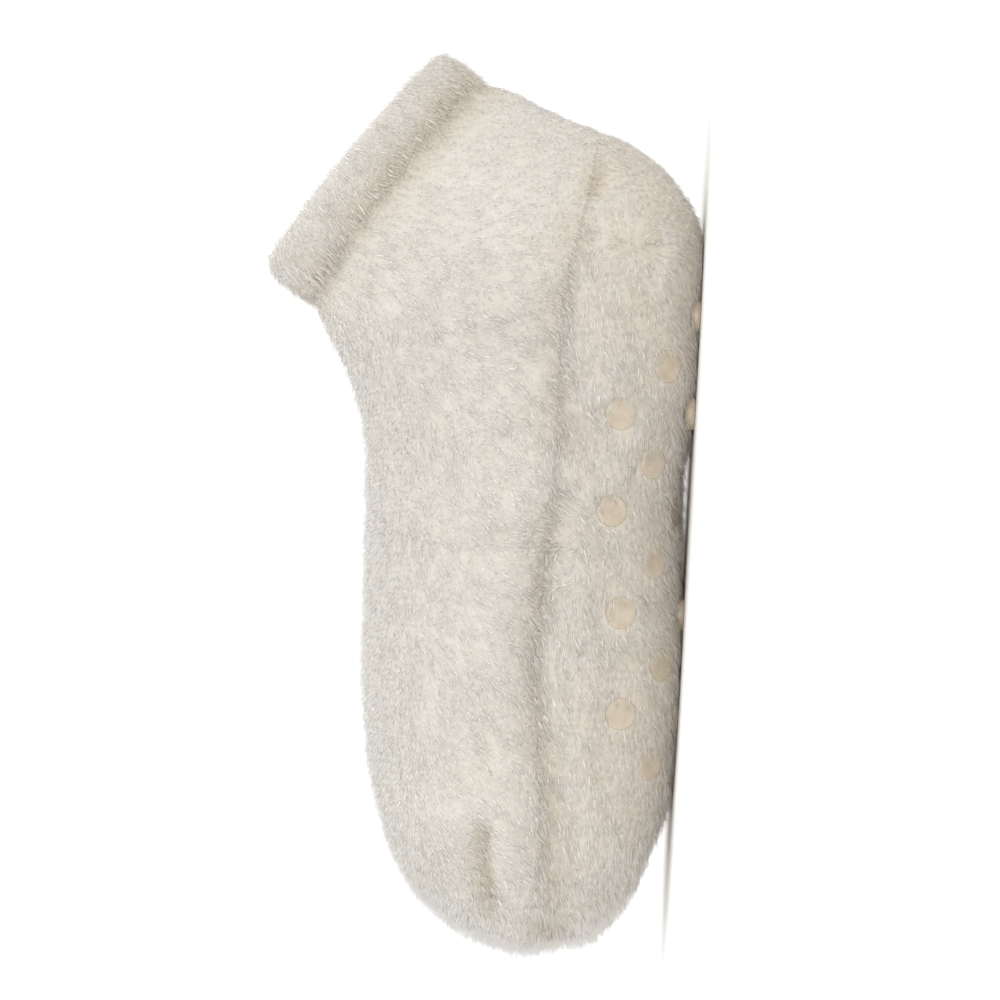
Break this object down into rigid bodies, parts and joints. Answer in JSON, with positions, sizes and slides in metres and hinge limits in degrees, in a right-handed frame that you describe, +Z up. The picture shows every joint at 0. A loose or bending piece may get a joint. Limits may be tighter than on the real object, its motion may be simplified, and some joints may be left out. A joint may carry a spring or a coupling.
{
  "type": "slipper sock",
  "caption": "Low plush slipper sock with a hollow shaggy upper, a turned hem round the tilted collar, a cupped plush sole and round silicone grips underneath.",
  "frame": {"origin": "on the floor, under the middle of the sock's overall length", "axes": "+Z up, +X from the toe to the heel, Y across, with the sock the same on both sides of y = 0"},
  "size_m": [0.2558, 0.0817, 0.1262],
  "materials": {
    "upper_plush": "deep cream plush, soft fine pile over a knitted ground, matt with a faint sheen",
    "sole_plush": "deep cream plush, longer and clumped, matt",
    "hem_plush": "short cream plush turned over an elastic hem, matt",
    "silicone": "translucent milky silicone, smooth and softly glossy"
  },
  "bodies": {
    "root": {"upper": "upper_plush", "sole": "sole_plush", "cuff": "hem_plush", "grip_dot_01": "silicone", "grip_dot_02": "silicone", "grip_dot_03": "silicone", "grip_dot_04": "silicone", "grip_dot_05": "silicone", "grip_dot_06": "silicone", "grip_dot_07": "silicone", "grip_dot_08": "silicone", "grip_dot_09": "silicone", "grip_dot_10": "silicone", "grip_dot_11": "silicone", "grip_dot_12": "silicone", "grip_dot_13": "silicone", "grip_dot_14": "silicone", "grip_dot_15": "silicone", "grip_dot_16": "silicone", "grip_dot_17": "silicone", "grip_dot_18": "silicone", "grip_dot_19": "silicone", "grip_dot_20": "silicone", "grip_dot_21": "silicone", "grip_dot_22": "silicone", "grip_dot_23": "silicone", "grip_dot_24": "silicone", "grip_dot_25": "silicone", "grip_dot_26": "silicone", "grip_dot_27": "silicone", "grip_dot_28": "silicone", "grip_dot_29": "silicone", "grip_dot_30": "silicone", "grip_dot_31": "silicone", "grip_dot_32": "silicone", "grip_dot_33": "silicone", "grip_dot_34": "silicone"}
  },
  "joints": []
}
